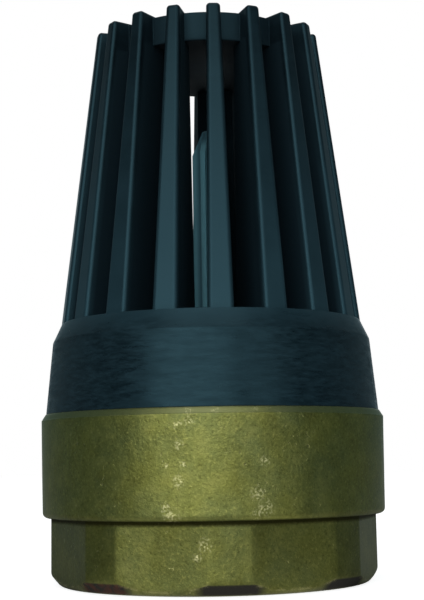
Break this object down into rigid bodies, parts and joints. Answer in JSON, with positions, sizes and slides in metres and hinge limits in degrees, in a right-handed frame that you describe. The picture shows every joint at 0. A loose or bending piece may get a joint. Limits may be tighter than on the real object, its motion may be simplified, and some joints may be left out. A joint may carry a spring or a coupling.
{
  "type": "foot valve",
  "caption": "Foot valve: round brass body with an octagon for the spanner and a threaded port, under a tapered black plastic strainer with deep ribs and a sprung poppet inside.",
  "frame": {"origin": "on the valve axis, in the plane of the outlet port's face, where the valve stands", "axes": "+Z along the valve axis, from the port towards the strainer's tip; one flat of the octagon faces -Y"},
  "size_m": [0.045, 0.045, 0.0733],
  "materials": {
    "body_brass": "blasted forged brass, fine grain",
    "strainer_nylon": "satin moulded glass-filled nylon",
    "gasket_rubber": "matt nitrile rubber",
    "seat_brass": "turned brass",
    "guide_plastic": "satin acetal",
    "washer_steel": "pressed stainless steel",
    "spring_steel": "drawn stainless wire",
    "stem_plastic": "satin acetal",
    "seal_rubber": "matt nitrile rubber",
    "poppet_plastic": "satin acetal",
    "nut_steel": "stainless steel"
  },
  "bodies": {
    "housing": {"valve_body": "body_brass", "strainer_basket": "strainer_nylon", "collar_gasket": "gasket_rubber", "seat_ring": "seat_brass", "upper_guide": "guide_plastic", "lower_guide": "guide_plastic", "spring_washer": "washer_steel", "return_spring": "spring_steel"},
    "poppet": {"guide_stem": "stem_plastic", "seal_ring": "seal_rubber", "poppet_disc": "poppet_plastic", "stem_nut": "nut_steel"}
  },
  "joints": [
    {"name": "poppet_lift", "type": "slide", "parent": "housing", "child": "poppet", "axis": [0, 0, -1], "range_m": [0, 0.0045], "stiffness_N_per_m": 300, "springref_m": -0.0035, "deforming": ["return_spring"]}
  ]
}
